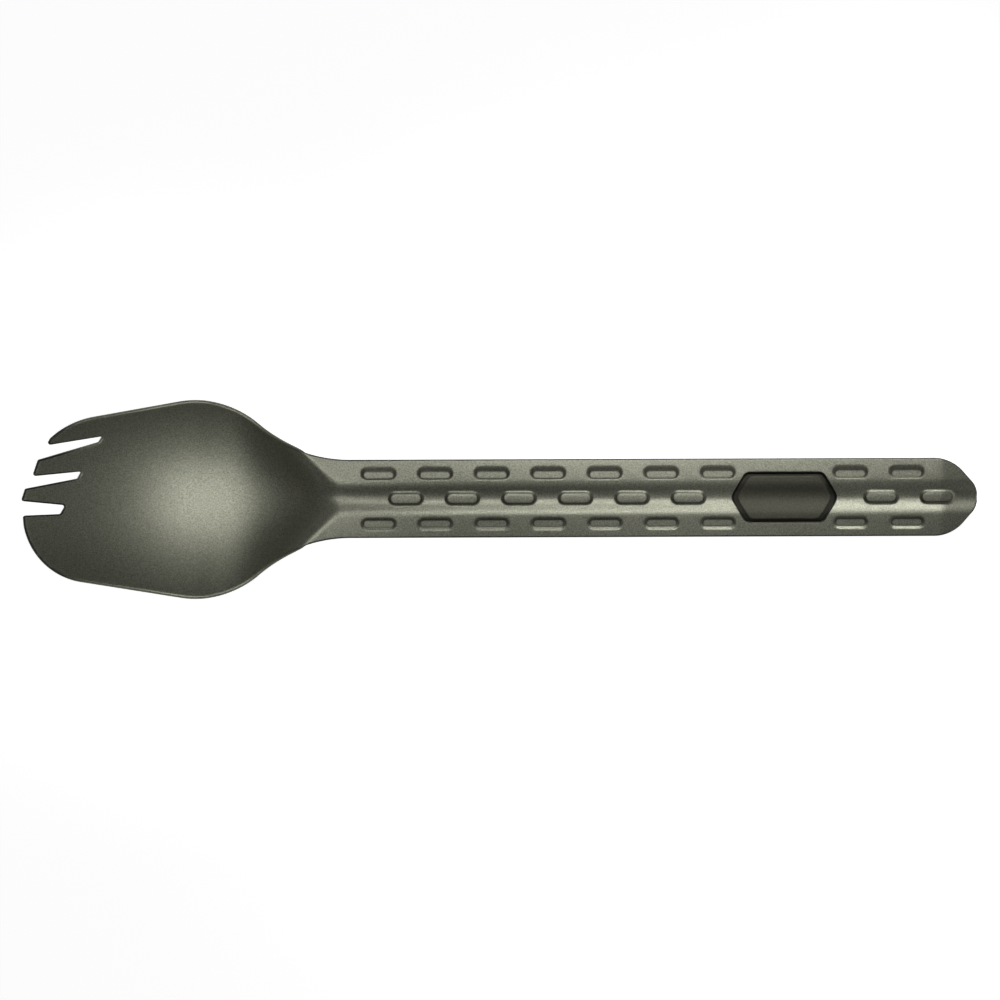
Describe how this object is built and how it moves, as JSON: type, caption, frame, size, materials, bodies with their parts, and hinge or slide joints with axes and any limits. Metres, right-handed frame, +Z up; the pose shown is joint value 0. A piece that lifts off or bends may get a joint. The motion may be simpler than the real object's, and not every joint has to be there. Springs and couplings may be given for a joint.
{
  "type": "spork",
  "caption": "Long camp spork pressed from sheet metal: deep bowl with tines and a scraping side, dashed handle with a central groove, and a slim pocket tool snapped under the handle.",
  "frame": {"origin": "on the table under the middle of the spork's length and width", "axes": "+X from the tines to the handle's tip, +Y to the tine side of the bowl, +Z up from the table"},
  "size_m": [0.2247, 0.0472, 0.0148],
  "materials": {
    "coated_sheet": "satin grey-olive coat with a fine grain",
    "stud_rubber": "moulded, semi-matt",
    "tool_plate": "dark bead-blasted coat"
  },
  "bodies": {
    "spork": {"spork_body": "coated_sheet"},
    "tool": {"pocket_tool": "tool_plate", "latch_stud": "stud_rubber"}
  },
  "joints": [
    {"name": "tool_release", "type": "slide", "parent": "spork", "child": "tool", "axis": [0, 0, -1], "range_m": [0, 0.003]}
  ]
}
